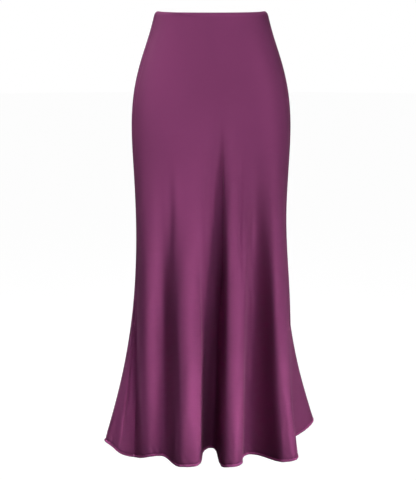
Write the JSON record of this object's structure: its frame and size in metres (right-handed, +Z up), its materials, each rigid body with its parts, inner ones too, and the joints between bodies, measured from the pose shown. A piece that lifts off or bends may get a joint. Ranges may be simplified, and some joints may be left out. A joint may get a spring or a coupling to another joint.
{
  "type": "mermaid fishtail skirt",
  "caption": "Long plum satin skirt, close over waist, hip and knee, flaring into deep irregular folds at a narrow rolled hem; hollow, as worn.",
  "frame": {"origin": "middle of the waist opening, level with the waist edge at the sides", "axes": "+X to the wearer's left, +Y to the wearer's back, +Z up; the front faces -Y"},
  "size_m": [0.4481, 0.351, 0.9118],
  "materials": {
    "panel_satin": "soft plum satin, smooth outside, matt inside",
    "turned_edge_satin": "the same satin turned and stitched"
  },
  "bodies": {
    "root": {"front_panel": "panel_satin", "back_panel": "panel_satin", "front_waist_edge": "turned_edge_satin", "back_waist_edge": "turned_edge_satin", "front_hem": "turned_edge_satin", "back_hem": "turned_edge_satin"}
  },
  "joints": []
}
